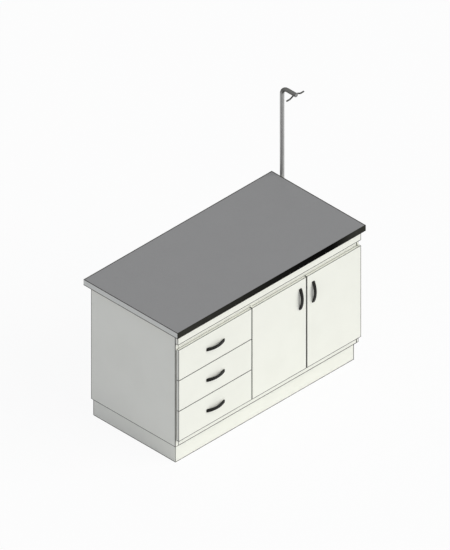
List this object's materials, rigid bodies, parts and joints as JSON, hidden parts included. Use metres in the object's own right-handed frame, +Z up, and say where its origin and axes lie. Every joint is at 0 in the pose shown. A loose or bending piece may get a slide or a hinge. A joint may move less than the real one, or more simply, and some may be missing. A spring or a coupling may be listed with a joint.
{
  "type": "veterinary exam table",
  "caption": "Cupboard-style veterinary exam table with drawers, a pair of doors, a laminate worktop on an inset plinth, and an IV pole with a double hook at one end.",
  "frame": {"origin": "on the floor under the middle of the worktop", "axes": "+X right along the front, +Y towards the back, +Z up; the drawers and doors face -Y"},
  "size_m": [1.614, 0.766, 1.5747],
  "materials": {
    "white_board": "cream white melamine on board, satin",
    "grey_laminate": "mid grey high-pressure laminate, fine texture",
    "black_edging": "black edging strip, satin",
    "light_edging": "light grey edging strip, satin",
    "core_board": "raw particle board",
    "black_pull": "near-black lacquer, satin",
    "pole_steel": "satin stainless tube and wire",
    "grey_cap": "mid grey plastic",
    "zinc_steel": "bright zinc plate",
    "powder_steel": "cream powder coat on steel",
    "bracket_metal": "cast aluminium, satin",
    "nylon": "natural nylon",
    "rubber": "soft grey rubber",
    "black_plastic": "black moulded plastic",
    "drawer_ply": "birch plywood, clear lacquer"
  },
  "bodies": {
    "cabinet": {"back_panel": "white_board", "bottom_front_rail": "white_board", "bottom_panel": "white_board", "bracket_screws": "zinc_steel", "bumpers": "rubber", "cabinet_runners": "zinc_steel", "door_pivots": "powder_steel", "fascia_rail": "white_board", "left_end_panel": "white_board", "lower_pole_bracket": "bracket_metal", "partition": "white_board", "plinth_brace": "white_board", "plinth_ends": "white_board", "plinth_front": "white_board", "plinth_rear": "white_board", "right_end_panel": "white_board", "shelf": "white_board", "shelf_pins": "zinc_steel", "top_front_rail": "white_board", "top_stretchers": "white_board", "upper_pole_bracket": "bracket_metal", "worktop_core": "core_board", "worktop_front_edging": "black_edging", "worktop_laminate": "grey_laminate", "worktop_light_edgings": "light_edging", "worktop_screws": "zinc_steel"},
    "bottom_drawer": {"bottom_drawer_front": "white_board", "bottom_drawer_box": "drawer_ply", "bottom_drawer_bottom": "drawer_ply", "bottom_drawer_pull": "black_pull", "bottom_drawer_fixings": "zinc_steel", "bottom_drawer_runners": "zinc_steel"},
    "bottom_drawer_slides": {"bottom_middle_runners": "zinc_steel"},
    "middle_drawer": {"middle_drawer_front": "white_board", "middle_drawer_box": "drawer_ply", "middle_drawer_bottom": "drawer_ply", "middle_drawer_pull": "black_pull", "middle_drawer_fixings": "zinc_steel", "middle_drawer_runners": "zinc_steel"},
    "middle_drawer_slides": {"middle_middle_runners": "zinc_steel"},
    "top_drawer": {"top_drawer_front": "white_board", "top_drawer_box": "drawer_ply", "top_drawer_bottom": "drawer_ply", "top_drawer_pull": "black_pull", "top_drawer_fixings": "zinc_steel", "top_drawer_runners": "zinc_steel"},
    "top_drawer_slides": {"top_middle_runners": "zinc_steel"},
    "left_door_leaf": {"left_door": "white_board", "left_door_pull": "black_pull", "left_door_bolts": "zinc_steel", "left_door_bushes": "nylon"},
    "right_door_leaf": {"right_door": "white_board", "right_door_pull": "black_pull", "right_door_bolts": "zinc_steel", "right_door_bushes": "nylon"},
    "pole_guide": {"pole_bushes": "black_plastic"},
    "iv_pole": {"pole_tube": "pole_steel", "pole_hook": "pole_steel", "pole_caps": "grey_cap"},
    "pole_clamp": {"clamp_knob": "black_plastic"}
  },
  "joints": [
    {"name": "bottom_drawer_slide", "type": "slide", "parent": "cabinet", "child": "bottom_drawer", "axis": [0, -1, 0], "range_m": [0, 0.5]},
    {"name": "bottom_runner_slide", "type": "slide", "parent": "cabinet", "child": "bottom_drawer_slides", "axis": [0, -1, 0], "range_m": [0, 0.25]},
    {"name": "middle_drawer_slide", "type": "slide", "parent": "cabinet", "child": "middle_drawer", "axis": [0, -1, 0], "range_m": [0, 0.5]},
    {"name": "middle_runner_slide", "type": "slide", "parent": "cabinet", "child": "middle_drawer_slides", "axis": [0, -1, 0], "range_m": [0, 0.25]},
    {"name": "top_drawer_slide", "type": "slide", "parent": "cabinet", "child": "top_drawer", "axis": [0, -1, 0], "range_m": [0, 0.5]},
    {"name": "top_runner_slide", "type": "slide", "parent": "cabinet", "child": "top_drawer_slides", "axis": [0, -1, 0], "range_m": [0, 0.25]},
    {"name": "left_door_hinge", "type": "hinge", "parent": "cabinet", "child": "left_door_leaf", "pos_m": [-0.1335, -0.357, 0.49], "axis": [0, 0, 1], "range_deg": [-85, 0]},
    {"name": "right_door_hinge", "type": "hinge", "parent": "cabinet", "child": "right_door_leaf", "pos_m": [0.7335, -0.357, 0.49], "axis": [0, 0, 1], "range_deg": [0, 110]},
    {"name": "pole_swivel", "type": "hinge", "parent": "cabinet", "child": "pole_guide", "pos_m": [0.78, 0.315, 0.859], "axis": [0, 0, 1], "continuous": true},
    {"name": "pole_lift", "type": "slide", "parent": "pole_guide", "child": "iv_pole", "axis": [0, 0, 1], "range_m": [0, 0.25]},
    {"name": "clamp_turn", "type": "hinge", "parent": "cabinet", "child": "pole_clamp", "pos_m": [0.81, 0.315, 0.859], "axis": [1, 0, 0], "range_deg": [0, 360]}
  ],
  "couplings": [
    {"joint": "bottom_runner_slide", "follows": "bottom_drawer_slide", "ratio": 0.5},
    {"joint": "middle_runner_slide", "follows": "middle_drawer_slide", "ratio": 0.5},
    {"joint": "top_runner_slide", "follows": "top_drawer_slide", "ratio": 0.5}
  ]
}
